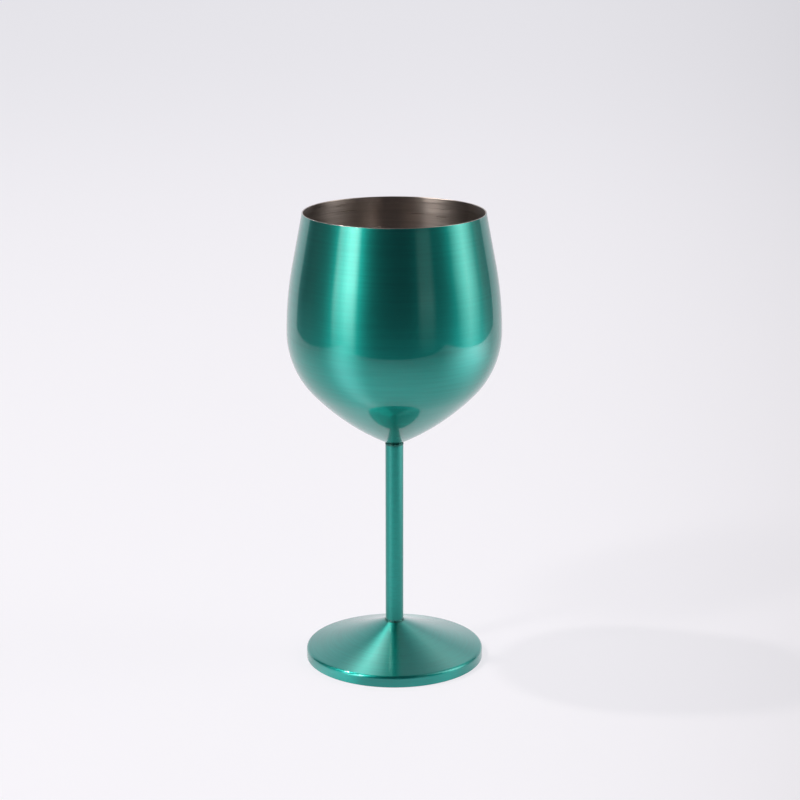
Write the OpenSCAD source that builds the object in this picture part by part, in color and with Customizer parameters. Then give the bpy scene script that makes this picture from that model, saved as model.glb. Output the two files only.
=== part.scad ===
// Stemmed steel goblet: a drawn bowl, a tube stem and a pressed foot, welded together.
// Millimetres, +Z up, with the origin at the centre of the foot's underside.

/* [Overall] */
// Height from the table to the lip
overall_h = 204.3; // [200:0.1:215]

/* [Bowl] */
// Outside diameter of the mouth
mouth_d = 80; // [77:0.5:84]
// Widest outside diameter
belly_d = 94.5; // [91:0.5:98]
// Drop from the lip to the widest line
belly_drop = 52.7; // [49:0.1:57]
// Radius of the gentle curve above the widest line
flank_curve = 156.7; // [140:0.1:170]
// Radius of the tight curve below the widest line
belly_curve = 39.1; // [37:0.1:41]
// How far the tight curve turns from upright, in degrees
belly_turn = 43.7; // [40:0.1:48]
// Radius of the flatter curve that runs in to the stem
base_curve = 112.2; // [105:0.1:125]
// Radius of the rounded bottom that the stem seats on
nose_curve = 10; // [8:0.5:12]
// Sheet thickness of the bowl
bowl_t = 0.6; // [0.5:0.05:0.8]

/* [Stem] */
// Outside diameter of the stem tube
stem_d = 8; // [7:0.5:9]
// Wall thickness of the stem tube
stem_t = 0.8; // [0.6:0.1:1.2]
// How far the tube passes through the top of the foot
stem_reach = 3; // [2:0.5:8]

/* [Foot] */
// Outside diameter of the foot
foot_d = 79.8; // [74:0.1:84]
// Height of the foot where it meets the stem
foot_h = 17; // [15:0.1:20]
// Height of the upright skirt below the rounded shoulder
skirt_h = 3.7; // [3.6:0.1:5]
// Outside radius of the rounded shoulder
shoulder_curve = 1.5; // [1.2:0.1:2]
// Radius of the slightly hollow curve up to the stem
cone_curve = 330; // [250:5:600]
// Sheet thickness of the foot
foot_t = 0.8; // [0.6:0.05:1]

/* [Base plate] */
// Sheet thickness of the base plate
plate_t = 0.8; // [0.6:0.05:1]
// How far the plate sits above the skirt's edge
plate_recess = 0.6; // [0.4:0.1:1]
// Outside radius of the plate's bent edge
plate_bend = 1.6; // [1.4:0.1:1.8]
// Height of the plate's upturned flange
flange_h = 2.6; // [2.2:0.1:2.6]

/* [Welds] */
// Section radius of the bead under the bowl
upper_bead = 0.8; // [0.6:0.05:1]
// Section radius of the bead on top of the foot
lower_bead = 0.7; // [0.6:0.05:0.9]
// Section radius of the bead round the base plate
seam_bead = 0.6; // [0.5:0.05:0.7]
// How far the two stem beads stand out from the tube
bead_proud = 0.25; // [0.1:0.05:0.4]

/* [Hidden] */
$fn = 256;

// How far a cutter runs past what it cuts
past = 1;
// Overlap of two tangent curves, so that they cross cleanly
hair = 0.001;
// Colours of the lacquer, the bare steel and the heat-darkened welds
lacquer = [0.08, 0.52, 0.47];
steel = [0.72, 0.71, 0.70];
scorched = [0.06, 0.24, 0.22];

// Half-diameters
mouth_r = mouth_d / 2;
belly_r = belly_d / 2;
stem_r = stem_d / 2;
bore_r = stem_r - stem_t;
foot_r = foot_d / 2;
skirt_r = foot_r - foot_t;

// Unit vector at an angle, and along a vector
function ray(angle) = [cos(angle), sin(angle)];
function unit(v) = v / norm(v);

// Bowl: a straight taper and four curves, each tangent to the next
belly_z = overall_h - belly_drop;
flank_c = [belly_r - flank_curve, belly_z];
to_lip = [mouth_r, overall_h] - flank_c;
taper = atan2(to_lip.y, to_lip.x) - acos(flank_curve / norm(to_lip));
up_wall = ray(90 + taper);
belly_c = [belly_r - belly_curve, belly_z];
base_c = belly_c + (belly_curve - base_curve) * ray(-belly_turn);
nose_z = base_c.y - sqrt(pow(base_curve - nose_curve, 2) - pow(base_c.x, 2));
nose_c = [0, nose_z];
nose_ray = unit(nose_c - base_c);

// Middle of the rounded lip, on the middle of the wall
lip_foot = [mouth_r, overall_h] - bowl_t / 2 * ray(taper);
lip_c = lip_foot + (overall_h - bowl_t / 2 - lip_foot.y) / up_wall.y * up_wall;

// Where the bowl's curves end, drawn in from the outside by an inset
function flank_end(inset) = flank_c + (flank_curve - inset) * ray(taper);
function belly_end(inset) = belly_c + (belly_curve - inset) * ray(-belly_turn);
function nose_end(inset) = nose_c + (nose_curve - inset) * nose_ray;

// Stem: its square end seats with the edge of its bore on the rounded bottom of the bowl
stem_top = nose_z - sqrt(pow(nose_curve, 2) - pow(bore_r, 2));
stem_bottom = foot_h - stem_reach;

// Foot: the hollow curve passes the stem at foot_h and touches the shoulder
shoulder_c = [foot_r - shoulder_curve, skirt_h];
foot_top = [stem_r, foot_h];
chord = shoulder_c - foot_top;
along = (pow(cone_curve, 2) - pow(cone_curve + shoulder_curve, 2) + chord * chord) / (2 * norm(chord));
across = sqrt(pow(cone_curve, 2) - pow(along, 2));
cone_c = foot_top + along * unit(chord) + across * unit([-chord.y, chord.x]);
shoulder_ray = unit(cone_c - shoulder_c);
stem_slope = unit([cone_c.y - foot_top.y, foot_top.x - cone_c.x]);

// Where the foot's curves end: the hollow one runs on inside the tube, until the hole cuts it
function shoulder_end(inset) = shoulder_c + (shoulder_curve - inset) * shoulder_ray;
function cone_drop(inset) = sqrt(pow(cone_curve + inset, 2) - pow(cone_c.x - bore_r, 2));
function cone_end(inset) = [bore_r, cone_c.y - cone_drop(inset)];

// Base plate: the middle of its bent edge
bend_c = [skirt_r - plate_bend, plate_recess + plate_bend];

// The part of a disc right of the axis, between two heights
module disc_band(centre, radius, low, high) {
    intersection() {
        translate(centre) circle(radius);
        translate([0, low]) square([belly_d, high - low]);
    }
}

// Half section of the bowl as if it were filled to above the lip
module bowl_fill(inset) {
    start = flank_end(inset + hair);
    end = start + (overall_h + past - start.y) / up_wall.y * up_wall;
    polygon([[0, start.y], start, end, [0, end.y]]);
    disc_band(flank_c, flank_curve - inset, belly_z, start.y + past);
    disc_band(belly_c, belly_curve - inset + hair, belly_end(inset).y - past, belly_z + past);
    disc_band(base_c, base_curve - inset, nose_end(inset).y, belly_end(inset).y);
    disc_band(nose_c, nose_curve - inset + hair, nose_z - nose_curve - past, nose_end(inset).y + past);
}

// Everything above the middle of the rounded lip, square to the wall
module above_lip() {
    translate(lip_c) rotate(taper) translate([-past - bowl_t, 0]) square(2 * (past + bowl_t));
}

module bowl() {
    color(lacquer) rotate_extrude() {
        difference() {
            bowl_fill(0);
            bowl_fill(bowl_t);
            above_lip();
        }
        translate(lip_c) circle(bowl_t / 2 + hair);
    }
}

module stem_tube() {
    length = stem_top - stem_bottom;
    color(lacquer) translate([0, 0, stem_bottom]) difference() {
        cylinder(r = stem_r, h = length);
        translate([0, 0, -past]) cylinder(r = bore_r, h = length + 2 * past);
    }
}

// Half section of the foot as if it were filled down to a floor
module foot_fill(inset, floor_z) {
    translate([0, floor_z]) square([foot_r - inset, skirt_h - floor_z]);
    translate(shoulder_c) circle(shoulder_curve - inset + hair);
    difference() {
        polygon([
            [0, skirt_h - past],
            shoulder_c - [0, past],
            shoulder_end(inset),
            cone_end(inset),
            [0, cone_end(inset).y]
        ]);
        translate(cone_c) circle(cone_curve + inset);
    }
}

module foot_shell() {
    color(lacquer) rotate_extrude() difference() {
        foot_fill(0, 0);
        foot_fill(foot_t, -past);
        square([stem_r, foot_h + past]);
    }
}

// Half section of the base plate: a flat disc with its edge bent up into a flange
module plate_section() {
    translate([0, plate_recess]) square([bend_c.x, plate_t]);
    intersection() {
        difference() {
            translate(bend_c) circle(plate_bend);
            translate(bend_c) circle(plate_bend - plate_t);
        }
        translate([bend_c.x, plate_recess - past]) square([plate_bend + past, plate_bend + past]);
    }
    translate([skirt_r - plate_t, bend_c.y]) square([plate_t, flange_h - plate_bend]);
}

module base_plate() {
    color(steel) rotate_extrude() plate_section();
}

// Bead in the groove between the tube's square end and the curved bottom of the bowl
module upper_weld() {
    root = bore_r + stem_t / 8;
    reach = 2 * upper_bead;
    color(scorched) rotate_extrude() difference() {
        translate([stem_r + bead_proud - upper_bead, stem_top]) circle(upper_bead);
        bowl_fill(0);
        polygon([
            [0, stem_top - reach],
            [stem_r, stem_top - reach],
            [stem_r, stem_top],
            [root, stem_top],
            [root, stem_top + reach],
            [0, stem_top + reach]
        ]);
    }
}

// Bead in the corner between the tube and the top of the foot
module lower_weld() {
    reach = 3 * lower_bead;
    color(scorched) rotate_extrude() difference() {
        translate([stem_r + bead_proud - lower_bead / 2, foot_h]) circle(lower_bead);
        polygon([
            [0, foot_h + reach],
            [stem_r, foot_h + reach],
            foot_top,
            foot_top + reach * stem_slope,
            [0, foot_h - reach]
        ]);
    }
}

// Bead in the groove between the skirt and the base plate's bent edge
module base_seam_weld() {
    bead_c = [skirt_r - seam_bead * 5 / 6, plate_recess + seam_bead * 13 / 12];
    color(steel) rotate_extrude() difference() {
        translate(bead_c) circle(seam_bead);
        translate(bend_c) circle(plate_bend);
        translate([0, plate_recess]) square([bend_c.x, plate_bend]);
        translate([skirt_r, 0]) square([seam_bead, skirt_h]);
    }
}

bowl();
stem_tube();
foot_shell();
base_plate();
upper_weld();
lower_weld();
base_seam_weld();
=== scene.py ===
"""Looks of a stemmed steel goblet: turned sheet metal with lacquer, bare steel and scorched welds.

Lengths are in metres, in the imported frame: +Z up along the stem, origin under the middle of the foot.
"""

import logging
import math
from dataclasses import dataclass, field
from enum import Enum

import bmesh
import bpy
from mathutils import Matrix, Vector


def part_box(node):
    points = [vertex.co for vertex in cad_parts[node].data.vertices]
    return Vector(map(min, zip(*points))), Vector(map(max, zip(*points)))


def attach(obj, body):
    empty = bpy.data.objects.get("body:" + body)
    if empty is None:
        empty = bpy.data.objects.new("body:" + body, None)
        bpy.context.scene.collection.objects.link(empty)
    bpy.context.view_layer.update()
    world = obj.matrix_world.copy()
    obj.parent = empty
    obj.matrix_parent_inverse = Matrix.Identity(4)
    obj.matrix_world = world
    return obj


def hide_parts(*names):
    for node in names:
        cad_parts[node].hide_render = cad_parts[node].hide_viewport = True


LOG = logging.getLogger("goblet")
MM = 0.001
BODY = "root"
UV_NAME = "brushing"
RUN_NAME = "run"
SECTORS = 8
SECTOR_STEPS = 24
SHARP_ANGLE = math.radians(35.0)
WELD_DISTANCE = 1e-6
WATTS_PER_RADIANCE = 4.0

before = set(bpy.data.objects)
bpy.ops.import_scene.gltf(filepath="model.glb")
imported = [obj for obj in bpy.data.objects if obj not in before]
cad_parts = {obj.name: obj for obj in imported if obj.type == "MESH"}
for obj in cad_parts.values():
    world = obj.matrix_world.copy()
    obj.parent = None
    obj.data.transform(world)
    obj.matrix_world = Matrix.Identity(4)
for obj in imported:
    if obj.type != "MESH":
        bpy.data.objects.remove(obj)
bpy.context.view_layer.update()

Feed = bpy.types.NodeSocket | float | tuple


class Slot(Enum):
    """Material slots of the record."""

    LACQUER = "lacquered_steel"
    BARE = "bare_steel"
    WELD = "scorched_weld"


class Op(Enum):
    """Operations of a Math node."""

    ADD = "ADD"
    SUBTRACT = "SUBTRACT"
    MULTIPLY = "MULTIPLY"
    DIVIDE = "DIVIDE"
    MAXIMUM = "MAXIMUM"
    MINIMUM = "MINIMUM"
    ABSOLUTE = "ABSOLUTE"
    BEARING = "ARCTAN2"
    ROOT = "SQRT"


def at(radius: float, height: float) -> Vector:
    """A point of a half section: its distance from the axis and its height."""
    return Vector((radius, 0.0, height))


def ray(angle: float) -> Vector:
    """The unit vector of a half section at an angle, from outwards towards up."""
    return at(math.cos(angle), math.sin(angle))


def heading(vector: Vector) -> float:
    """The angle of a vector of a half section, from outwards towards up."""
    return math.atan2(vector.z, vector.x)


def add_object(name: str, data: bpy.types.ID) -> bpy.types.Object:
    """Makes an object and links it to the scene.

    Args:
        name: the object's name.
        data: its mesh, light or camera.

    Returns:
        The object, at the origin.
    """
    made = bpy.data.objects.new(name, data)
    bpy.context.scene.collection.objects.link(made)
    return made


class Lathe:
    """Draws half sections with one moving vertex and turns them about the Z axis into one mesh."""

    def __init__(self) -> None:
        """Starts an empty mesh with a running length on its vertices and a UV map on its corners."""
        self.mesh = bmesh.new()
        self.run = self.mesh.verts.layers.float.new(RUN_NAME)
        self.uv = self.mesh.loops.layers.uv.new(UV_NAME)
        self.start: bmesh.types.BMVert | None = None
        self.tip: bmesh.types.BMVert | None = None

    def begin(self, point: Vector) -> "Lathe":
        """Sets the first vertex of a new section.

        Args:
            point: where the section starts.

        Returns:
            The lathe, so that calls can follow each other.
        """
        self.start = bmesh.ops.create_vert(self.mesh, co=point)["vert"][0]
        self.tip = self.start
        return self

    def line(self, end: Vector, steps: int = 1) -> "Lathe":
        """Draws a straight run in equal steps.

        Args:
            end: where the run ends.
            steps: how many edges it has.

        Returns:
            The lathe.
        """
        stride = (end - self.tip.co) / steps
        for _ in range(steps):
            self.tip = bmesh.ops.extrude_vert_indiv(self.mesh, verts=[self.tip])["verts"][0]
            bmesh.ops.translate(self.mesh, verts=[self.tip], vec=stride)
        return self

    def arc(self, centre: Vector, turn: float, steps: int) -> "Lathe":
        """Draws an arc from the last vertex.

        Args:
            centre: the middle of the arc.
            turn: how far it goes round, in radians, positive from outwards towards up.
            steps: how many edges it has.

        Returns:
            The lathe.
        """
        made = bmesh.ops.spin(
            self.mesh, geom=[self.tip], cent=centre, axis=(0.0, -1.0, 0.0), angle=turn, steps=steps
        )
        self.tip = next(item for item in made["geom_last"] if isinstance(item, bmesh.types.BMVert))
        return self

    def measured(self) -> list[bmesh.types.BMVert]:
        """Writes the running length along the section on its vertices.

        Returns:
            The section's vertices in drawing order.
        """
        vert, last, length = self.start, None, 0.0
        drawn: list[bmesh.types.BMVert] = []
        while vert is not None:
            vert[self.run] = length
            drawn.append(vert)
            onward = [edge for edge in vert.link_edges if edge is not last]
            if not onward:
                break
            last = onward[0]
            length += last.calc_length()
            vert = last.other_vert(vert)
        return drawn

    def turn(self, finish: int = 0) -> "Lathe":
        """Turns the section just drawn once round the axis.

        Args:
            finish: the material index of the faces that this makes.

        Returns:
            The lathe.
        """
        verts = self.measured()
        edges = list({edge for vert in verts for edge in vert.link_edges})
        sector = 2.0 * math.pi / SECTORS
        around = {"cent": (0.0, 0.0, 0.0), "axis": (0.0, 0.0, 1.0)}
        known = len(self.mesh.faces)
        bmesh.ops.spin(self.mesh, geom=verts + edges, angle=sector, steps=SECTOR_STEPS, **around)
        self.mesh.faces.ensure_lookup_table()
        wedge = self.mesh.faces[known:]
        for face in wedge:
            face.material_index = finish
        bmesh.ops.spin(
            self.mesh,
            geom=wedge,
            angle=sector * (SECTORS - 1),
            steps=SECTORS - 1,
            use_duplicate=True,
            **around,
        )
        return self

    def unwrap(self) -> None:
        """Lays the UV map: U runs along the section in metres, V goes round the axis in turns."""
        for face in self.mesh.faces:
            middle = face.calc_center_median()
            facing = math.atan2(middle.y, middle.x)
            for loop in face.loops:
                co = loop.vert.co
                angle = math.atan2(co.y, co.x) if math.hypot(co.x, co.y) > WELD_DISTANCE else facing
                lap = round((facing - angle) / (2.0 * math.pi))
                loop[self.uv].uv = (loop.vert[self.run], angle / (2.0 * math.pi) + lap)

    def finish(self, name: str) -> bpy.types.Object:
        """Closes the mesh and makes the object.

        Args:
            name: the object's name.

        Returns:
            The new object, linked to the scene, at the origin.
        """
        bmesh.ops.remove_doubles(self.mesh, verts=self.mesh.verts, dist=WELD_DISTANCE)
        bmesh.ops.recalc_face_normals(self.mesh, faces=self.mesh.faces)
        self.unwrap()
        for face in self.mesh.faces:
            face.smooth = True
        for edge in self.mesh.edges:
            edge.smooth = edge.calc_face_angle(0.0) < SHARP_ANGLE
        data = bpy.data.meshes.new(name)
        self.mesh.to_mesh(data)
        self.mesh.free()
        return add_object(name, data)


class Wiring:
    """Adds shader nodes to one tree and links them."""

    def __init__(self, tree: bpy.types.NodeTree) -> None:
        """Keeps the tree."""
        self.tree = tree

    def node(self, kind: str, **settings: object) -> bpy.types.Node:
        """Adds a node.

        Args:
            kind: the node's type name.
            settings: properties to set on it.

        Returns:
            The node.
        """
        made = self.tree.nodes.new(kind)
        for name, value in settings.items():
            setattr(made, name, value)
        return made

    def feed(self, socket: bpy.types.NodeSocket, value: Feed) -> None:
        """Links a socket to another one, or sets its own value.

        Args:
            socket: the input to feed.
            value: another node's output, or a plain value.
        """
        if isinstance(value, bpy.types.NodeSocket):
            self.tree.links.new(value, socket)
        else:
            socket.default_value = value

    def math(self, op: Op, first: Feed, second: Feed = 0.0) -> bpy.types.NodeSocket:
        """Adds a Math node.

        Args:
            op: what it works out.
            first: the first number.
            second: the second number.

        Returns:
            The result's socket.
        """
        made = self.node("ShaderNodeMath", operation=op.value)
        self.feed(made.inputs[0], first)
        self.feed(made.inputs[1], second)
        return made.outputs[0]

    def split(self, vector: Feed) -> bpy.types.Node:
        """Separates a vector.

        Args:
            vector: the vector's socket.

        Returns:
            The node, with X, Y and Z as its outputs.
        """
        made = self.node("ShaderNodeSeparateXYZ")
        self.feed(made.inputs[0], vector)
        return made

    def off_axis(self, point: bpy.types.Node) -> bpy.types.NodeSocket:
        """Works out how far a point lies from the Z axis.

        Args:
            point: the separated point.

        Returns:
            The distance's socket.
        """
        across = self.math(Op.MULTIPLY, point.outputs[0], point.outputs[0])
        deep = self.math(Op.MULTIPLY, point.outputs[1], point.outputs[1])
        return self.math(Op.ROOT, self.math(Op.ADD, across, deep))

    def ramp(self, value: Feed, low: Feed, high: Feed) -> bpy.types.NodeSocket:
        """Adds a soft step from 0 at low to 1 at high.

        Args:
            value: what is compared.
            low: where the step starts.
            high: where it ends; below low, the step falls.

        Returns:
            The step's socket.
        """
        made = self.node("ShaderNodeMapRange", interpolation_type="SMOOTHSTEP")
        self.feed(made.inputs["Value"], value)
        self.feed(made.inputs["From Min"], low)
        self.feed(made.inputs["From Max"], high)
        return made.outputs["Result"]

    def blend(self, factor: Feed, first: Feed, second: Feed) -> bpy.types.NodeSocket:
        """Mixes two colours.

        Args:
            factor: 0 for the first colour, 1 for the second.
            first: a colour or its socket.
            second: a colour or its socket.

        Returns:
            The mixed colour's socket.
        """
        made = self.node("ShaderNodeMix", data_type="RGBA")
        self.feed(made.inputs["Factor"], factor)
        self.feed(made.inputs["A"], opaque(first))
        self.feed(made.inputs["B"], opaque(second))
        return made.outputs["Result"]

    def noise(self, vector: Feed, scale: float, detail: float, rough: float) -> bpy.types.NodeSocket:
        """Adds a 3-D noise.

        Args:
            vector: where it is read.
            scale: how many cells there are per unit.
            detail: how many finer layers it has.
            rough: how strong the finer layers are.

        Returns:
            The noise's value, about 0.5 on average.
        """
        made = self.node("ShaderNodeTexNoise")
        self.feed(made.inputs["Vector"], vector)
        self.feed(made.inputs["Scale"], scale)
        made.inputs["Detail"].default_value = detail
        made.inputs["Roughness"].default_value = rough
        return made.outputs["Fac"]

    def group(self, tree: bpy.types.NodeTree, **values: Feed) -> bpy.types.Node:
        """Places a node group.

        Args:
            tree: the group's tree.
            values: its inputs, with _ for each space in a name.

        Returns:
            The group's node.
        """
        made = self.node("ShaderNodeGroup", node_tree=tree)
        for name, value in values.items():
            self.feed(made.inputs[name.replace("_", " ")], value)
        return made


def opaque(colour: Feed) -> Feed:
    """Gives a colour of three numbers an alpha of 1.

    Args:
        colour: the colour, or a socket that carries one.

    Returns:
        The colour of four numbers, or the socket as it is.
    """
    if isinstance(colour, tuple) and len(colour) == 3:
        return (*colour, 1.0)
    return colour


def open_group(name: str, inputs: dict[str, str], outputs: dict[str, str]) -> tuple[Wiring, dict, dict]:
    """Starts a shader node group.

    Args:
        name: the group's name.
        inputs: socket type by input name.
        outputs: socket type by output name.

    Returns:
        The group's wiring, its inputs' sockets and its outputs' sockets, by name.
    """
    tree = bpy.data.node_groups.new(name, "ShaderNodeTree")
    for label, kind in inputs.items():
        tree.interface.new_socket(name=label, in_out="INPUT", socket_type=kind)
    for label, kind in outputs.items():
        tree.interface.new_socket(name=label, in_out="OUTPUT", socket_type=kind)
    wiring = Wiring(tree)
    entry = wiring.node("NodeGroupInput")
    leave = wiring.node("NodeGroupOutput")
    return wiring, {s.name: s for s in entry.outputs}, {s.name: s for s in leave.inputs}


class Effects:
    """Node groups that more than one finish uses."""

    LINE_DETAIL = 1.0
    LINE_ROUGH = 0.65
    UNEVEN_CELLS = 900.0
    UNEVEN_DETAIL = 3.0
    UNEVEN_ROUGH = 0.6
    LEAST_REACH = 0.5
    SPECK_CELLS = (0.80, 0.82)

    def __init__(self) -> None:
        """Builds the groups once."""
        self.brush = self.brush_lines()
        self.heat = self.heat_mark()
        self.specks = self.dust_specks()

    def brush_lines(self) -> bpy.types.NodeTree:
        """Fine lines round the axis: hair lines, and broader bands of them.

        Returns:
            The group's tree.
        """
        wiring, given, put = open_group(
            "brush_lines",
            {"Spacing": "NodeSocketFloat", "Band width": "NodeSocketFloat", "Turns": "NodeSocketFloat"},
            {"Lines": "NodeSocketFloat", "Bands": "NodeSocketFloat"},
        )
        place = wiring.node("ShaderNodeUVMap", uv_map=UV_NAME)
        along = wiring.split(place.outputs["UV"])
        round_axis = wiring.node("ShaderNodeVectorMath", operation="NORMALIZE")
        where = wiring.node("ShaderNodeTexCoord")
        flat = wiring.node("ShaderNodeVectorMath", operation="MULTIPLY")
        wiring.feed(flat.inputs[0], where.outputs["Object"])
        flat.inputs[1].default_value = (1.0, 1.0, 0.0)
        wiring.feed(round_axis.inputs[0], flat.outputs[0])
        facing = wiring.split(round_axis.outputs[0])
        for width, label in (("Spacing", "Lines"), ("Band width", "Bands")):
            cell = wiring.node("ShaderNodeCombineXYZ")
            wiring.feed(cell.inputs[0], wiring.math(Op.MULTIPLY, facing.outputs[0], given["Turns"]))
            wiring.feed(cell.inputs[1], wiring.math(Op.MULTIPLY, facing.outputs[1], given["Turns"]))
            wiring.feed(cell.inputs[2], wiring.math(Op.DIVIDE, along.outputs[0], given[width]))
            lines = wiring.noise(cell.outputs[0], 1.0, self.LINE_DETAIL, self.LINE_ROUGH)
            wiring.feed(put[label], lines)
        return wiring.tree

    def heat_mark(self) -> bpy.types.NodeTree:
        """A soft mark round a weld ring, uneven round the axis.

        Returns:
            The group's tree.
        """
        wiring, given, put = open_group(
            "heat_mark",
            {"Radius": "NodeSocketFloat", "Height": "NodeSocketFloat", "Reach": "NodeSocketFloat"},
            {"Mark": "NodeSocketFloat"},
        )
        where = wiring.node("ShaderNodeTexCoord")
        point = wiring.split(where.outputs["Object"])
        radius = wiring.off_axis(point)
        out = wiring.math(Op.ABSOLUTE, wiring.math(Op.SUBTRACT, radius, given["Radius"]))
        rise = wiring.math(Op.ABSOLUTE, wiring.math(Op.SUBTRACT, point.outputs[2], given["Height"]))
        uneven = wiring.noise(
            where.outputs["Object"], self.UNEVEN_CELLS, self.UNEVEN_DETAIL, self.UNEVEN_ROUGH
        )
        reach = wiring.math(Op.MULTIPLY, given["Reach"], wiring.math(Op.ADD, uneven, self.LEAST_REACH))
        far = wiring.math(Op.ADD, out, rise)
        wiring.feed(put["Mark"], wiring.ramp(far, reach, 0.0))
        return wiring.tree

    def dust_specks(self) -> bpy.types.NodeTree:
        """Sparse pin-point specks.

        Returns:
            The group's tree.
        """
        wiring, given, put = open_group(
            "dust_specks",
            {"Density": "NodeSocketFloat", "Size": "NodeSocketFloat"},
            {"Mask": "NodeSocketFloat"},
        )
        where = wiring.node("ShaderNodeTexCoord")
        cells = wiring.node("ShaderNodeTexVoronoi", feature="F1")
        wiring.feed(cells.inputs["Vector"], where.outputs["Object"])
        wiring.feed(cells.inputs["Scale"], given["Density"])
        speck = wiring.ramp(cells.outputs["Distance"], given["Size"], 0.0)
        chosen = wiring.node("ShaderNodeSeparateColor")
        wiring.feed(chosen.inputs[0], cells.outputs["Color"])
        kept = wiring.ramp(chosen.outputs[0], *self.SPECK_CELLS)
        wiring.feed(put["Mask"], wiring.math(Op.MULTIPLY, speck, kept))
        return wiring.tree


@dataclass(frozen=True)
class Ring:
    """A weld ring: its distance from the axis and its height."""

    radius: float
    height: float


@dataclass(frozen=True)
class Finish:
    """What every metal finish of the goblet shares.

    The brushing runs round the axis, turned by spiral. Its lines lie spacing apart, in bands of
    band_width. They change the roughness by roughness_swing and are up to groove deep.
    """

    name: str
    colour: tuple[float, float, float]
    roughness: float
    anisotropy: float
    coat: float
    coat_roughness: float = 0.05
    spiral: float = 0.0
    spacing: float = 0.5 * MM
    band_width: float = 1.2 * MM
    turns: float = 1.5
    roughness_swing: float = 0.05
    groove: float = 0.002 * MM

    def surface(
        self, effects: Effects
    ) -> tuple[bpy.types.Material, Wiring, bpy.types.Node, bpy.types.Node]:
        """Starts the material: a metal brushed round the axis.

        Args:
            effects: the shared node groups.

        Returns:
            The material, its wiring, its Principled node and its brush group.
        """
        made = bpy.data.materials.new(self.name)
        made.use_nodes = True
        wiring = Wiring(made.node_tree)
        shader = made.node_tree.nodes["Principled BSDF"]
        shader.inputs["Metallic"].default_value = 1.0
        shader.inputs["Anisotropic"].default_value = self.anisotropy
        shader.inputs["Anisotropic Rotation"].default_value = self.spiral / (2.0 * math.pi)
        shader.inputs["Coat Weight"].default_value = self.coat
        shader.inputs["Coat Roughness"].default_value = self.coat_roughness
        grain = wiring.node("ShaderNodeTangent", direction_type="UV_MAP", uv_map=UV_NAME)
        wiring.feed(shader.inputs["Tangent"], grain.outputs[0])
        brush = wiring.group(
            effects.brush, Spacing=self.spacing, Band_width=self.band_width, Turns=self.turns
        )
        swing = wiring.math(Op.MULTIPLY, brush.outputs["Lines"], self.roughness_swing)
        floor = self.roughness - self.roughness_swing / 2.0
        wiring.feed(shader.inputs["Roughness"], wiring.math(Op.ADD, swing, floor))
        bump = wiring.node("ShaderNodeBump")
        bump.inputs["Strength"].default_value = 1.0
        bump.inputs["Distance"].default_value = self.groove
        wiring.feed(bump.inputs["Height"], brush.outputs["Lines"])
        wiring.feed(shader.inputs["Normal"], bump.outputs[0])
        return made, wiring, shader, brush


@dataclass(frozen=True)
class Lacquer(Finish):
    """Clear green-teal lacquer over steel brushed round the axis."""

    depth: float = 0.91
    burnt: tuple[float, float, float] = (0.02, 0.18, 0.155)
    heat_reach: float = 1.6 * MM
    speck_density: float = 260.0
    speck_size: float = 0.045
    speck_loss: float = 0.6
    tones: tuple[float, float] = (0.7, 1.3)

    def material(self, effects: Effects, welds: list[Ring]) -> bpy.types.Material:
        """Makes the lacquer.

        Args:
            effects: the shared node groups.
            welds: the rings whose heat has darkened it.

        Returns:
            The material.
        """
        made, wiring, shader, brush = self.surface(effects)
        tone = wiring.math(Op.ADD, brush.outputs["Bands"], brush.outputs["Lines"])
        deep = tuple(self.depth * channel for channel in self.colour)
        colour = wiring.blend(wiring.ramp(tone, *self.tones), deep, self.colour)
        for weld in welds:
            heat = wiring.group(
                effects.heat, Radius=weld.radius, Height=weld.height, Reach=self.heat_reach
            )
            colour = wiring.blend(heat.outputs["Mark"], colour, self.burnt)
        wiring.feed(shader.inputs["Base Color"], colour)
        specks = wiring.group(effects.specks, Density=self.speck_density, Size=self.speck_size)
        lost = wiring.math(Op.MULTIPLY, specks.outputs["Mask"], self.speck_loss)
        wiring.feed(shader.inputs["Coat Weight"], wiring.math(Op.SUBTRACT, self.coat, lost))
        return made


@dataclass(frozen=True)
class BareSteel(Finish):
    """Uncoated stainless steel, brushed round the axis."""

    dulled: float = 0.8
    tones: tuple[float, float] = (0.75, 1.25)

    def material(self, effects: Effects) -> bpy.types.Material:
        """Makes the steel.

        Args:
            effects: the shared node groups.

        Returns:
            The material.
        """
        made, wiring, shader, brush = self.surface(effects)
        tone = wiring.math(Op.ADD, brush.outputs["Bands"], brush.outputs["Lines"])
        shade = tuple(self.dulled * channel for channel in self.colour)
        colour = wiring.blend(wiring.ramp(tone, *self.tones), shade, self.colour)
        wiring.feed(shader.inputs["Base Color"], colour)
        return made


@dataclass(frozen=True)
class ScorchedWeld(Finish):
    """Weld bead darkened by heat, under the same lacquer."""

    soot: tuple[float, float, float] = (0.012, 0.065, 0.058)
    mottle: float = 1500.0
    mottle_detail: float = 4.0
    mottle_rough: float = 0.6
    tones: tuple[float, float] = (0.35, 0.65)

    def material(self, effects: Effects) -> bpy.types.Material:
        """Makes the weld's finish.

        Args:
            effects: the shared node groups.

        Returns:
            The material.
        """
        made, wiring, shader, _ = self.surface(effects)
        where = wiring.node("ShaderNodeTexCoord")
        patches = wiring.noise(
            where.outputs["Object"], self.mottle, self.mottle_detail, self.mottle_rough
        )
        colour = wiring.blend(wiring.ramp(patches, *self.tones), self.soot, self.colour)
        wiring.feed(shader.inputs["Base Color"], colour)
        return made


@dataclass(frozen=True)
class Palette:
    """The goblet's materials."""

    bowl: bpy.types.Material
    stem: bpy.types.Material
    foot: bpy.types.Material
    inside: bpy.types.Material
    steel: bpy.types.Material
    weld: bpy.types.Material


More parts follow.
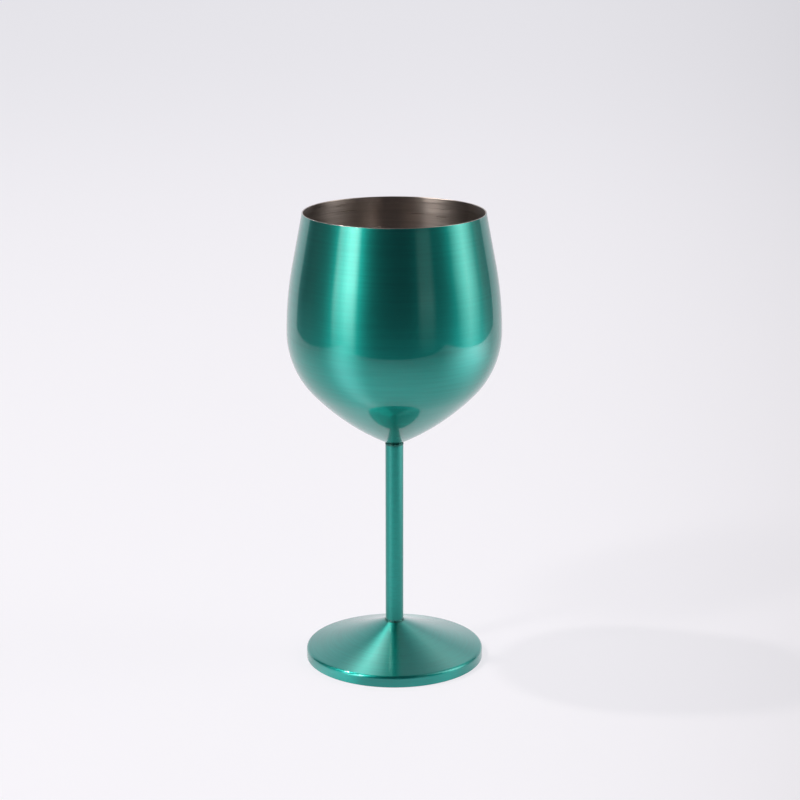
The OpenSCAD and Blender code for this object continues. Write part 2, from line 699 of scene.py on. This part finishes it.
def settle(
    piece: bpy.types.Object, node: str, slot: Slot, *materials: bpy.types.Material
) -> bpy.types.Object:
    """Dresses a piece, lets it stand for its CAD node and ties it to the body.

    Args:
        piece: the finished mesh.
        node: the CAD node that it stands for.
        slot: the record's slot for its finish.
        materials: its materials, in the order of its faces' indices.

    Returns:
        The piece.
    """
    for material in materials:
        piece.data.materials.append(material)
    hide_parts(node)
    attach(piece, BODY)
    LOG.info("%s: %d faces, %s", piece.name, len(piece.data.polygons), slot.value)
    return piece


@dataclass
class Bowl:
    """Drawn bowl: a straight taper and four arcs, each tangent to the next, with a full-round lip."""

    top: float
    belly_radius: float
    mouth_radius: float = 40.0 * MM
    belly_drop: float = 52.7 * MM
    flank_curve: float = 156.7 * MM
    belly_curve: float = 39.1 * MM
    belly_turn: float = math.radians(43.7)
    base_curve: float = 112.2 * MM
    nose_curve: float = 10.0 * MM
    sheet: float = 0.6 * MM
    lacquer_wrap: float = math.radians(25.0)
    nose_steps: int = 10
    curve_steps: int = 26
    flank_steps: int = 20
    taper_steps: int = 10
    wrap_steps: int = 3
    lip_steps: int = 11
    taper: float = field(init=False)
    flank_c: Vector = field(init=False)
    belly_c: Vector = field(init=False)
    base_c: Vector = field(init=False)
    nose_c: Vector = field(init=False)
    lip_c: Vector = field(init=False)

    def __post_init__(self) -> None:
        """Works out the arcs' centres from the driving sizes."""
        belly_z = self.top - self.belly_drop
        self.flank_c = at(self.belly_radius - self.flank_curve, belly_z)
        to_lip = at(self.mouth_radius, self.top) - self.flank_c
        self.taper = heading(to_lip) - math.acos(self.flank_curve / to_lip.length)
        self.belly_c = at(self.belly_radius - self.belly_curve, belly_z)
        self.base_c = self.belly_c + (self.belly_curve - self.base_curve) * ray(-self.belly_turn)
        drop = math.sqrt((self.base_curve - self.nose_curve) ** 2 - self.base_c.x ** 2)
        self.nose_c = at(0.0, self.base_c.z - drop)
        half = self.sheet / 2.0
        upwards = ray(self.taper + math.pi / 2.0)
        lip_foot = at(self.mouth_radius, self.top) - half * ray(self.taper)
        self.lip_c = lip_foot + (self.top - half - lip_foot.z) / upwards.z * upwards

    @classmethod
    def from_frame(cls) -> "Bowl":
        """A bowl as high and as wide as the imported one."""
        _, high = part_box("bowl")
        return cls(top=high.z, belly_radius=high.x)

    def build(self) -> bpy.types.Object:
        """Turns the outside, the lip and the inside.

        Returns:
            The bowl, with face index 0 on the lacquered outside and 1 on the bare lip and inside.
        """
        nose_turn = heading(self.nose_c - self.base_c)
        half = self.sheet / 2.0
        outside = self.lip_c + half * ray(self.taper)
        lip_edge = self.lip_c + half * ray(self.taper + self.lacquer_wrap)
        flank_inside = self.flank_c + (self.flank_curve - self.sheet) * ray(self.taper)
        lathe = Lathe()
        lathe.begin(self.nose_c - at(0.0, self.nose_curve))
        lathe.arc(self.nose_c, nose_turn + math.pi / 2.0, self.nose_steps)
        lathe.arc(self.base_c, -self.belly_turn - nose_turn, self.curve_steps)
        lathe.arc(self.belly_c, self.belly_turn, self.curve_steps)
        lathe.arc(self.flank_c, self.taper, self.flank_steps)
        lathe.line(outside, self.taper_steps)
        lathe.arc(self.lip_c, self.lacquer_wrap, self.wrap_steps)
        lathe.turn(0)
        lathe.begin(lip_edge)
        lathe.arc(self.lip_c, math.pi - self.lacquer_wrap, self.lip_steps)
        lathe.line(flank_inside, self.taper_steps)
        lathe.arc(self.flank_c, -self.taper, self.flank_steps)
        lathe.arc(self.belly_c, -self.belly_turn, self.curve_steps)
        lathe.arc(self.base_c, self.belly_turn + nose_turn, self.curve_steps)
        lathe.arc(self.nose_c, -nose_turn - math.pi / 2.0, self.nose_steps)
        lathe.turn(1)
        return lathe.finish("spun_bowl")

    def dress(self, palette: Palette) -> bpy.types.Object:
        """Builds the bowl and gives it lacquer outside and bare steel inside."""
        return settle(self.build(), "bowl", Slot.LACQUER, palette.bowl, palette.inside)


@dataclass
class Stem:
    """Straight tube between the foot and the bowl."""

    bottom: float
    top: float
    radius: float
    wall: float = 0.8 * MM
    edge: float = 0.12 * MM
    rim_steps: int = 2
    edge_steps: int = 3
    outer_steps: int = 40
    bore_steps: int = 20

    @classmethod
    def from_frame(cls) -> "Stem":
        """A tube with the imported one's ends and diameter."""
        low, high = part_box("stem_tube")
        return cls(bottom=low.z, top=high.z, radius=high.x)

    def build(self) -> bpy.types.Object:
        """Turns the tube's closed section, with its outer edges broken.

        Returns:
            The tube.
        """
        bore = self.radius - self.wall
        rim = self.radius - self.edge
        lathe = Lathe()
        lathe.begin(at(bore, self.bottom))
        lathe.line(at(rim, self.bottom), self.rim_steps)
        lathe.arc(at(rim, self.bottom + self.edge), math.pi / 2.0, self.edge_steps)
        lathe.line(at(self.radius, self.top - self.edge), self.outer_steps)
        lathe.arc(at(rim, self.top - self.edge), math.pi / 2.0, self.edge_steps)
        lathe.line(at(bore, self.top), self.rim_steps)
        lathe.line(at(bore, self.bottom), self.bore_steps)
        lathe.turn()
        return lathe.finish("stem")

    def dress(self, palette: Palette) -> bpy.types.Object:
        """Builds the stem and lacquers it."""
        return settle(self.build(), "stem_tube", Slot.LACQUER, palette.stem)


@dataclass
class Foot:
    """Pressed foot: a slightly hollow cone, a rounded shoulder and an upright skirt."""

    radius: float
    stem_radius: float
    height: float = 17.0 * MM
    skirt: float = 3.7 * MM
    shoulder: float = 1.5 * MM
    hollow: float = 330.0 * MM
    sheet: float = 0.8 * MM
    edge: float = 0.25 * MM
    rim_steps: int = 2
    edge_steps: int = 5
    skirt_steps: int = 6
    shoulder_steps: int = 14
    inner_shoulder_steps: int = 10
    cone_steps: int = 36
    shoulder_c: Vector = field(init=False)
    cone_c: Vector = field(init=False)

    def __post_init__(self) -> None:
        """Finds the hollow curve that passes the stem and touches the shoulder."""
        self.shoulder_c = at(self.radius - self.shoulder, self.skirt)
        start = at(self.stem_radius, self.height)
        chord = self.shoulder_c - start
        reach = self.hollow + self.shoulder
        along = (self.hollow ** 2 - reach ** 2 + chord.length_squared) / (2.0 * chord.length)
        across = math.sqrt(self.hollow ** 2 - along ** 2)
        forward = chord.normalized()
        self.cone_c = start + along * forward + across * at(-forward.z, forward.x)

    @classmethod
    def from_frame(cls, stem: Stem) -> "Foot":
        """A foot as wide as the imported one, round the given stem."""
        _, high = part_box("foot_shell")
        return cls(radius=high.x, stem_radius=stem.radius)

    def on_cone(self, radius: float, inset: float) -> Vector:
        """The point of the hollow curve at a distance from the axis.

        Args:
            radius: the distance from the axis.
            inset: how far below the outer surface.

        Returns:
            The point.
        """
        swing = self.hollow + inset
        return at(radius, self.cone_c.z - math.sqrt(swing ** 2 - (self.cone_c.x - radius) ** 2))

    def build(self) -> bpy.types.Object:
        """Turns the foot's closed section.

        Returns:
            The foot.
        """
        lean = heading(self.cone_c - self.shoulder_c)
        inner = self.radius - self.sheet
        crest = heading(self.on_cone(self.stem_radius, 0.0) - self.cone_c)
        under = heading(self.on_cone(self.stem_radius, self.sheet) - self.cone_c)
        touch = lean - math.pi
        lathe = Lathe()
        lathe.begin(at(inner + self.edge, 0.0))
        lathe.line(at(self.radius - self.edge, 0.0), self.rim_steps)
        lathe.arc(at(self.radius - self.edge, self.edge), math.pi / 2.0, self.edge_steps)
        lathe.line(at(self.radius, self.skirt), self.skirt_steps)
        lathe.arc(self.shoulder_c, lean, self.shoulder_steps)
        lathe.arc(self.cone_c, crest - touch, self.cone_steps)
        lathe.line(self.on_cone(self.stem_radius, self.sheet), self.rim_steps)
        lathe.arc(self.cone_c, touch - under, self.cone_steps)
        lathe.arc(self.shoulder_c, -lean, self.inner_shoulder_steps)
        lathe.line(at(inner, self.edge), self.skirt_steps)
        lathe.arc(at(inner + self.edge, self.edge), math.pi / 2.0, self.edge_steps)
        lathe.turn()
        return lathe.finish("pressed_foot")

    def dress(self, palette: Palette) -> bpy.types.Object:
        """Builds the foot and lacquers it."""
        return settle(self.build(), "foot_shell", Slot.LACQUER, palette.foot)


@dataclass
class BasePlate:
    """Pressed pan that closes the foot from below."""

    radius: float
    bottom: float
    rim_top: float
    sheet: float = 0.8 * MM
    bend: float = 1.6 * MM
    floor_steps: int = 30
    bend_steps: int = 10
    inner_bend_steps: int = 8
    rim_steps: int = 2

    @classmethod
    def from_frame(cls) -> "BasePlate":
        """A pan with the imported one's diameter and heights."""
        low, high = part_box("base_plate")
        return cls(radius=high.x, bottom=low.z, rim_top=high.z)

    def build(self) -> bpy.types.Object:
        """Turns the pan's section from the middle of its underside to the middle of its top.

        Returns:
            The base plate.
        """
        bend_c = at(self.radius - self.bend, self.bottom + self.bend)
        lathe = Lathe()
        lathe.begin(at(0.0, self.bottom))
        lathe.line(at(bend_c.x, self.bottom), self.floor_steps)
        lathe.arc(bend_c, math.pi / 2.0, self.bend_steps)
        lathe.line(at(self.radius, self.rim_top), self.rim_steps)
        lathe.line(at(self.radius - self.sheet, self.rim_top), self.rim_steps)
        lathe.line(at(self.radius - self.sheet, bend_c.z), self.rim_steps)
        lathe.arc(bend_c, -math.pi / 2.0, self.inner_bend_steps)
        lathe.line(at(0.0, self.bottom + self.sheet), self.floor_steps)
        lathe.turn()
        return lathe.finish("pan_base")

    def dress(self, palette: Palette) -> bpy.types.Object:
        """Builds the base plate in bare steel."""
        return settle(self.build(), "base_plate", Slot.BARE, palette.steel)


@dataclass
class WeldBead:
    """Ring of weld: a round bead that lies in the corner between two pieces."""

    node: str
    name: str
    ring: Ring
    thickness: float
    slot: Slot
    section_steps: int = 24

    def build(self) -> bpy.types.Object:
        """Turns the bead's round section.

        Returns:
            The bead.
        """
        lathe = Lathe()
        centre = at(self.ring.radius, self.ring.height)
        lathe.begin(centre + self.thickness * ray(-math.pi))
        lathe.arc(centre, 2.0 * math.pi, self.section_steps)
        lathe.turn()
        return lathe.finish(self.name)

    def dress(self, palette: Palette) -> bpy.types.Object:
        """Builds the bead in its finish."""
        finish = palette.weld if self.slot is Slot.WELD else palette.steel
        return settle(self.build(), self.node, self.slot, finish)


@dataclass
class Welds:
    """The three beads that hold the goblet together, with their section radii and seats."""

    stem: Stem
    foot: Foot
    plate: BasePlate
    upper_bead: float = 0.8 * MM
    upper_proud: float = 0.12 * MM
    upper_drop: float = 0.5 * MM
    lower_bead: float = 0.7 * MM
    lower_proud: float = 0.35 * MM
    seam_bead: float = 0.6 * MM
    seam_inset: float = 0.5 * MM
    seam_rise: float = 0.65 * MM

    def hot_rings(self) -> list[Ring]:
        """The rings whose heat has darkened the lacquer."""
        return [Ring(self.stem.radius, self.stem.top), Ring(self.stem.radius, self.foot.height)]

    def dress(self, palette: Palette) -> None:
        """Builds the beads under the bowl, on the foot and round the base plate.

        Args:
            palette: the goblet's materials.
        """
        upper_radius = self.stem.radius + self.upper_proud - self.upper_bead
        upper = Ring(upper_radius, self.stem.top - self.upper_drop)
        lower = Ring(self.stem.radius + self.lower_proud - self.lower_bead, self.foot.height)
        seam = Ring(self.plate.radius - self.seam_inset, self.plate.bottom + self.seam_rise)
        WeldBead("upper_weld", "bowl_weld", upper, self.upper_bead, Slot.WELD).dress(palette)
        WeldBead("lower_weld", "foot_weld", lower, self.lower_bead, Slot.WELD).dress(palette)
        WeldBead("base_seam_weld", "base_seam", seam, self.seam_bead, Slot.BARE).dress(palette)


@dataclass(frozen=True)
class Lamp:
    """A soft lamp aimed at the goblet, placed by its direction from it."""

    name: str
    azimuth: float
    elevation: float
    distance: float
    width: float
    tall: float
    radiance: float
    soft_sides: float = 0.0
    soft_ends: float = 0.0
    rising: bool = False
    colour: tuple[float, float, float] = (1.0, 0.935, 0.89)

    def hang(self, aim: Vector) -> bpy.types.Object:
        """Makes the lamp.

        Args:
            aim: the point that it shines at.

        Returns:
            The lamp.
        """
        side, rise = math.radians(self.azimuth), math.radians(self.elevation)
        out = Vector(
            (math.sin(side) * math.cos(rise), -math.cos(side) * math.cos(rise), math.sin(rise))
        )
        light = bpy.data.lights.new(self.name, "AREA")
        light.shape = "RECTANGLE"
        light.size = self.width
        light.size_y = self.tall
        light.energy = WATTS_PER_RADIANCE * self.radiance * self.width * self.tall
        light.color = self.colour
        self.soften(light)
        made = add_object(self.name, light)
        made.location = aim + self.distance * out
        made.rotation_mode = "QUATERNION"
        made.rotation_quaternion = (-out).to_track_quat("-Z", "Y")
        made.visible_camera = False
        return made

    def soften(self, light: bpy.types.Light) -> None:
        """Lets the lamp's level fall evenly towards its sides and ends, as in a soft box.

        Args:
            light: the lamp's data.
        """
        light.use_nodes = True
        wiring = Wiring(light.node_tree)
        place = wiring.node("ShaderNodeNewGeometry")
        across = wiring.split(place.outputs["Parametric"])
        level: Feed = 1.0
        for output, soft in zip(across.outputs, (self.soft_sides, self.soft_ends)):
            if soft > 0.0:
                off = wiring.math(Op.ABSOLUTE, wiring.math(Op.SUBTRACT, output, 0.5))
                left = wiring.math(Op.DIVIDE, wiring.math(Op.SUBTRACT, 0.5, off), soft / 2.0)
                level = wiring.math(Op.MULTIPLY, wiring.math(Op.MINIMUM, left, 1.0), level)
        if self.rising:
            level = wiring.math(Op.MULTIPLY, across.outputs[1], level)
        wiring.feed(light.node_tree.nodes["Emission"].inputs["Strength"], level)


@dataclass(frozen=True)
class PaintedSpill:
    """A painted pool of lamp light: a brighter sector of the table in the goblet's gloss, which grows
    from start to full metres out.
    """

    azimuth: float
    reach: float
    gain: float
    start: float
    full: float = 0.6


@dataclass
class Studio:
    """Pale table, pale backdrop, dark room in front, and the lamps."""

    aim: Vector
    table_half_width: float = 0.68
    table_front: float = -0.49
    table_edge: float = 0.01
    floor_size: float = 12.0
    pale: tuple[float, float, float] = (0.925, 0.915, 0.96)
    lift: float = 0.775
    lift_behind: float = 0.80
    lift_run: tuple[float, float] = (0.1, 1.6)
    albedo: float = 0.22
    # Painted light of the table in the goblet's gloss: dimmer than to the camera, and dimmer still far in
    # front
    mirrored: float = 0.85
    mirrored_far: float = 0.42
    far: float = 0.6
    # Painted pools of the soft boxes' light on the table, seen only in the goblet's gloss
    painted_spills: tuple[PaintedSpill, ...] = (PaintedSpill(-54.0, 25.0, 3.4, -0.2), PaintedSpill(85.0, 40.0, 6.0, 0.1))
    # Painted shade: the table's glow darkens towards the right, away from the lamps on the left
    right_painted_shade: float = 3.8
    right_least: float = 0.82
    right_origin: float = -1.0
    least_depth: float = 0.1
    room: tuple[float, float, float] = (0.048, 0.048, 0.06)
    backdrop_left: float = math.tan(math.radians(36.5))
    backdrop_right: float = math.tan(math.radians(40.5))
    backdrop_level: float = 0.88
    backdrop_fade: float = 0.25
    backdrop_top: float = 0.71
    backdrop_high: float = 0.52
    backdrop_soft: float = 0.08
    backdrop_foot_soft: float = 0.02
    backdrop_edge_soft: float = 0.015
    # Azimuth, elevation, distance, width, height, level, and how far in the sides and ends fade
    lamps: tuple[Lamp, ...] = (
        Lamp("front_left", -48.5, 2.0, 1.6, 0.56, 1.16, 5.8, 0.6, rising=True),
        Lamp("side_left", -62.0, 2.0, 1.6, 0.48, 1.16, 3.1, 0.5, rising=True),
        Lamp("high_left", -99.0, 54.7, 1.9, 0.1, 0.1, 400.0),
        Lamp("key_left", -53.5, 42.0, 1.7, 0.3, 0.6, 52.0, 1.0, 1.0),
        Lamp("right_panel", 87.5, 27.0, 1.5, 1.15, 3.3, 3.5, 1.0, 1.0),
        Lamp("right_wall", 112.0, 12.0, 1.6, 0.9, 2.0, 0.32, 1.0, 1.0),
        Lamp("left_wall", -90.0, 8.0, 1.6, 1.3, 1.8, 0.06, 0.5, 0.5),
        Lamp("front_card", 34.5, 5.0, 1.2, 0.46, 0.80, 0.42, 0.5, 1.0),
        Lamp("back_left", -165.0, 52.0, 1.6, 0.36, 0.8, 2.3, 1.0, 1.0),
        Lamp("back_right", 161.0, 39.0, 1.6, 0.5, 0.8, 0.6, 1.0, 1.0),
    )

    def lay_floor(self) -> bpy.types.Object:
        """Makes the floor: pale on the table, dark beyond it except to the camera.

        Returns:
            The floor.
        """
        mesh = bmesh.new()
        bmesh.ops.create_grid(mesh, x_segments=1, y_segments=1, size=self.floor_size / 2.0)
        data = bpy.data.meshes.new("floor")
        mesh.to_mesh(data)
        mesh.free()
        data.materials.append(self.floor_material())
        made = add_object("floor", data)
        return made

    def floor_material(self) -> bpy.types.Material:
        """Makes the floor's material.

        Returns:
            The material.
        """
        made = bpy.data.materials.new("pale_table")
        made.use_nodes = True
        made.node_tree.nodes.clear()
        wiring = Wiring(made.node_tree)
        where = wiring.node("ShaderNodeTexCoord")
        point = wiring.split(where.outputs["Object"])
        sideways = wiring.math(Op.ABSOLUTE, point.outputs[0])
        soft = self.table_edge
        within = wiring.ramp(sideways, self.table_half_width + soft, self.table_half_width - soft)
        behind = wiring.ramp(point.outputs[1], self.table_front - soft, self.table_front + soft)
        table = wiring.math(Op.MULTIPLY, within, behind)
        table = wiring.math(Op.MAXIMUM, table, self.behind(wiring, point, self.backdrop_foot_soft))
        path = wiring.node("ShaderNodeLightPath")
        camera = path.outputs["Is Camera Ray"]
        shown = wiring.math(Op.MAXIMUM, camera, table)
        seen = wiring.math(Op.MAXIMUM, camera, path.outputs["Is Glossy Ray"])
        seen = wiring.math(Op.MAXIMUM, seen, path.outputs["Is Transmission Ray"])
        matt = wiring.node("ShaderNodeBsdfDiffuse")
        wiring.feed(matt.inputs["Color"], opaque(tuple(self.albedo * c for c in self.pale)))
        glow = wiring.node("ShaderNodeEmission")
        wiring.feed(glow.inputs["Color"], opaque(self.pale))
        # Painted lamp light on the table, only in glossy rays
        change = wiring.math(Op.SUBTRACT, self.mirror_level(wiring, point), 1.0)
        change = wiring.math(Op.MULTIPLY, change, path.outputs["Is Glossy Ray"])
        level = self.table_level(wiring, point)
        level = wiring.math(Op.MULTIPLY, level, wiring.math(Op.ADD, 1.0, change))
        wiring.feed(glow.inputs["Strength"], wiring.math(Op.MULTIPLY, seen, level))
        both = wiring.node("ShaderNodeAddShader")
        wiring.feed(both.inputs[0], matt.outputs[0])
        wiring.feed(both.inputs[1], glow.outputs[0])
        sides = wiring.node("ShaderNodeNewGeometry")
        open_below = wiring.node("ShaderNodeMixShader")
        hidden = wiring.math(Op.SUBTRACT, 1.0, shown)
        hidden = wiring.math(Op.MAXIMUM, sides.outputs["Backfacing"], hidden)
        wiring.feed(open_below.inputs[0], hidden)
        wiring.feed(open_below.inputs[1], both.outputs[0])
        wiring.feed(open_below.inputs[2], wiring.node("ShaderNodeBsdfTransparent").outputs[0])
        leave = wiring.node("ShaderNodeOutputMaterial")
        wiring.feed(leave.inputs["Surface"], open_below.outputs[0])
        return made

    def table_level(self, wiring: Wiring, point: bpy.types.Node) -> bpy.types.NodeSocket:
        """How bright the table looks: a little brighter far behind, and darker far to the right as
        painted shade away from the lamps on the left.

        Args:
            wiring: the floor's nodes.
            point: the separated floor point.

        Returns:
            The level's socket.
        """
        behind = wiring.ramp(point.outputs[1], *self.lift_run)
        rise = wiring.math(Op.MULTIPLY, behind, self.lift_behind - self.lift)
        # Painted shade, growing towards the right
        depth = wiring.math(Op.SUBTRACT, point.outputs[1], self.right_origin)
        depth = wiring.math(Op.MAXIMUM, depth, self.least_depth)
        rightward = wiring.math(Op.MAXIMUM, point.outputs[0], 0.0)
        slant = wiring.math(Op.DIVIDE, rightward, depth)
        fall = wiring.math(Op.MULTIPLY, wiring.math(Op.MULTIPLY, slant, slant), self.right_painted_shade)
        kept = wiring.math(Op.SUBTRACT, 1.0, fall)
        level = wiring.math(Op.MULTIPLY, wiring.math(Op.ADD, rise, self.lift), kept)
        return wiring.math(Op.MAXIMUM, level, self.lift * self.right_least)

    def mirror_level(self, wiring: Wiring, point: bpy.types.Node) -> bpy.types.NodeSocket:
        """How bright the goblet's gloss mirrors the table, against the table's own level, with painted
        lamp light on it.

        Args:
            wiring: the floor's nodes.
            point: the separated floor point.

        Returns:
            The level's socket: painted light, which falls with distance in front and rises towards the
            soft boxes.
        """
        away = wiring.off_axis(point)
        forward = wiring.math(Op.MULTIPLY, point.outputs[1], -1.0)
        bearing = wiring.math(Op.BEARING, point.outputs[0], forward)
        level: Feed = 1.0
        # Painted pool of lamp light towards each soft box
        for spill in self.painted_spills:
            off = wiring.math(Op.SUBTRACT, bearing, math.radians(spill.azimuth))
            near = wiring.ramp(wiring.math(Op.ABSOLUTE, off), math.radians(spill.reach), 0.0)
            share = wiring.math(Op.MULTIPLY, near, spill.gain)
            grown = wiring.math(Op.MULTIPLY, share, wiring.ramp(away, spill.start, spill.full))
            level = wiring.math(Op.ADD, grown, level)
        # Painted fall-off of the lamps' light with distance in front of the goblet
        lost = wiring.ramp(away, 0.0, self.far)
        lost = wiring.math(Op.MULTIPLY, lost, self.mirrored - self.mirrored_far)
        in_front = wiring.ramp(point.outputs[1], self.far / 2.0, -self.far / 2.0)
        lost = wiring.math(Op.MULTIPLY, lost, in_front)
        return wiring.math(Op.MULTIPLY, wiring.math(Op.SUBTRACT, self.mirrored, lost), level)

    def behind(self, wiring: Wiring, point: bpy.types.Node, soft: float) -> bpy.types.NodeSocket:
        """1 behind the backdrop's two edges, 0 in front of them.

        Args:
            wiring: the tree's nodes.
            point: a separated point or direction.
            soft: the width of the step.

        Returns:
            The step's socket.
        """
        leftward = wiring.math(Op.MAXIMUM, wiring.math(Op.MULTIPLY, point.outputs[0], -1.0), 0.0)
        rightward = wiring.math(Op.MAXIMUM, point.outputs[0], 0.0)
        edge = wiring.math(
            Op.ADD,
            wiring.math(Op.MULTIPLY, leftward, self.backdrop_left),
            wiring.math(Op.MULTIPLY, rightward, self.backdrop_right),
        )
        past = wiring.math(Op.SUBTRACT, point.outputs[1], edge)
        return wiring.ramp(past, -soft, soft)

    def paint_world(self) -> None:
        """Makes a pale backdrop behind and a dark room in front, all pale to the camera."""
        world = bpy.data.worlds.new("studio")
        bpy.context.scene.world = world
        world.use_nodes = True
        wiring = Wiring(world.node_tree)
        background = world.node_tree.nodes["Background"]
        where = wiring.node("ShaderNodeTexCoord")
        way = wiring.split(where.outputs["Generated"])
        rise = wiring.math(Op.MAXIMUM, way.outputs[2], 0.0)
        dimmed = wiring.math(Op.SUBTRACT, 1.0, wiring.math(Op.MULTIPLY, rise, self.backdrop_fade))
        soft = self.backdrop_soft
        below = wiring.ramp(rise, self.backdrop_top + soft, self.backdrop_top - soft)
        paper = wiring.math(Op.MULTIPLY, below, 1.0 - self.backdrop_high)
        paper = wiring.math(Op.ADD, paper, self.backdrop_high)
        paper = wiring.math(Op.MULTIPLY, wiring.math(Op.MULTIPLY, dimmed, paper), self.backdrop_level)
        behind = self.behind(wiring, way, self.backdrop_edge_soft)
        backdrop = wiring.math(Op.MULTIPLY, behind, paper)
        path = wiring.node("ShaderNodeLightPath")
        shown = wiring.math(Op.MAXIMUM, path.outputs["Is Camera Ray"], backdrop)
        wiring.feed(background.inputs["Color"], wiring.blend(shown, self.room, self.pale))

    def set_up(self) -> None:
        """Builds the floor, the surroundings and the lamps."""
        self.lay_floor()
        self.paint_world()
        for lamp in self.lamps:
            lamp.hang(self.aim)
            LOG.info("lamp %s: radiance %.2f", lamp.name, lamp.radiance)


@dataclass(frozen=True)
class Viewpoint:
    """The camera: in front of the goblet, above its lip, looking down at it."""

    aside: float = 2.5 * MM
    away: float = 929.1 * MM
    height: float = 368.4 * MM
    pitch: float = math.radians(14.965)
    lens: float = 97.83
    sensor: float = 36.0

    def place(self) -> bpy.types.Object:
        """Makes the camera and gives it to the scene.

        Returns:
            The camera.
        """
        data = bpy.data.cameras.new("camera")
        data.lens = self.lens
        data.sensor_width = self.sensor
        made = add_object("camera", data)
        made.location = (self.aside, -self.away, self.height)
        made.rotation_euler = (math.pi / 2.0 - self.pitch, 0.0, 0.0)
        bpy.context.scene.camera = made
        return made


def make_palette(welds: list[Ring]) -> Palette:
    """Makes the goblet's materials.

    Args:
        welds: the rings whose heat has darkened the lacquer.

    Returns:
        The palette.
    """
    effects = Effects()
    bowl = Lacquer(
        "bowl_lacquer", colour=(0.013, 0.345, 0.293), roughness=0.371, anisotropy=0.526, coat=1.0
    )
    stem = Lacquer(
        "stem_lacquer",
        colour=(0.006, 0.325, 0.275),
        roughness=0.436,
        anisotropy=0.667,
        coat=0.85,
        coat_roughness=0.3,
        spiral=math.radians(90.0),
    )
    foot = Lacquer(
        "foot_lacquer",
        colour=(0.012, 0.35, 0.305),
        roughness=0.40,
        anisotropy=0.80,
        coat=1.0,
        coat_roughness=0.09,
        spiral=math.radians(-15.0),
    )
    # Darker than the base plate's brushed steel: painted shade for the bowl's dim hollow
    inside = BareSteel(
        "shaded_bowl_inside",
        colour=(0.505, 0.456, 0.423),
        roughness=0.37,
        anisotropy=0.88,
        coat=0.0,
        roughness_swing=0.4,
        groove=0.06 * MM,
        dulled=0.88,
    )
    steel = BareSteel(
        "brushed_steel",
        colour=(0.58, 0.545, 0.52),
        roughness=0.40,
        anisotropy=0.85,
        coat=0.0,
        spacing=0.3 * MM,
        groove=0.02 * MM,
    )
    weld = ScorchedWeld(
        "scorched_bead",
        colour=(0.03, 0.25, 0.215),
        roughness=0.55,
        anisotropy=0.2,
        coat=0.5,
        coat_roughness=0.25,
    )
    return Palette(
        bowl=bowl.material(effects, welds),
        stem=stem.material(effects, welds),
        foot=foot.material(effects, welds),
        inside=inside.material(effects),
        steel=steel.material(effects),
        weld=weld.material(effects),
    )


def main() -> None:
    """Builds the goblet's pieces in order, then the studio and the camera."""
    logging.basicConfig(level=logging.INFO, format="%(name)s %(message)s")
    Viewpoint().place()
    bowl = Bowl.from_frame()
    stem = Stem.from_frame()
    foot = Foot.from_frame(stem)
    plate = BasePlate.from_frame()
    welds = Welds(stem, foot, plate)
    palette = make_palette(welds.hot_rings())
    for part in (bowl, stem, foot, plate, welds):
        part.dress(palette)
    Studio(aim=Vector((0.0, 0.0, bowl.top - bowl.belly_drop))).set_up()
    bpy.context.scene.view_settings.view_transform = "Standard"


if __name__ == "__main__":
    main()
